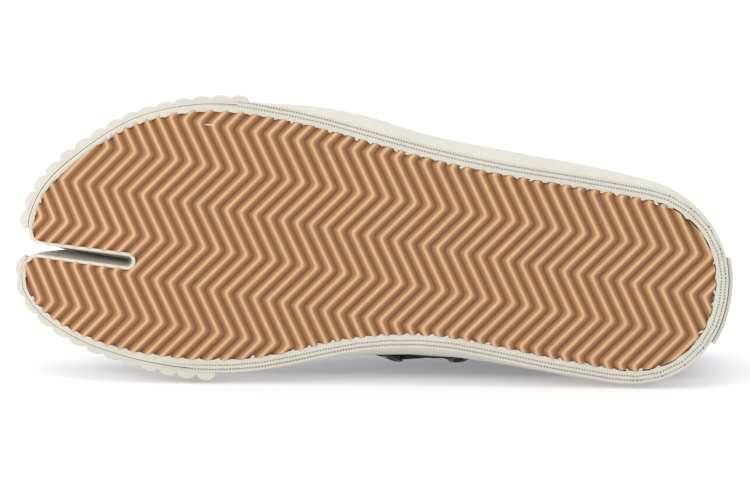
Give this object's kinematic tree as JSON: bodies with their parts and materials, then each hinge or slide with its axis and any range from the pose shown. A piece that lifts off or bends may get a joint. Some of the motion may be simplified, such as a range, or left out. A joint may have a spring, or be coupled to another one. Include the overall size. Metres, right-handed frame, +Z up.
{
  "type": "split-toe low-top sneaker",
  "caption": "Left split-toe low-top canvas sneaker lying on its inner side, with a herringbone gum outsole, off-white rubber foxing, ribbed toe bumpers, laced throat and open collar.",
  "frame": {"origin": "middle of the box round the shoe, on the floor, with the shoe lying on its inner side", "axes": "+Z up from the floor; +X from the toes to the heel; the tread faces -Y and slightly up, and the collar opens towards +Y"},
  "size_m": [0.2944, 0.1104, 0.1177],
  "materials": {
    "gum_rubber": "satin",
    "off_white_rubber": "satin",
    "black_canvas": "matte",
    "footbed_cloth": "matte",
    "lace_cotton": "matte",
    "eyelet_paint": "satin"
  },
  "bodies": {
    "root": {"outsole": "gum_rubber", "rand": "off_white_rubber", "foxing": "off_white_rubber", "bumper_big_toe": "off_white_rubber", "bumper_small_toes": "off_white_rubber", "heel_patch": "off_white_rubber", "upper": "black_canvas", "tongue": "black_canvas", "insole": "footbed_cloth", "lace": "lace_cotton", "eyelet_medial_1": "eyelet_paint", "eyelet_medial_2": "eyelet_paint", "eyelet_medial_3": "eyelet_paint", "eyelet_medial_4": "eyelet_paint", "eyelet_medial_5": "eyelet_paint", "eyelet_lateral_1": "eyelet_paint", "eyelet_lateral_2": "eyelet_paint", "eyelet_lateral_3": "eyelet_paint", "eyelet_lateral_4": "eyelet_paint", "eyelet_lateral_5": "eyelet_paint", "eyelet_vent_1": "eyelet_paint", "eyelet_vent_2": "eyelet_paint"}
  },
  "joints": []
}
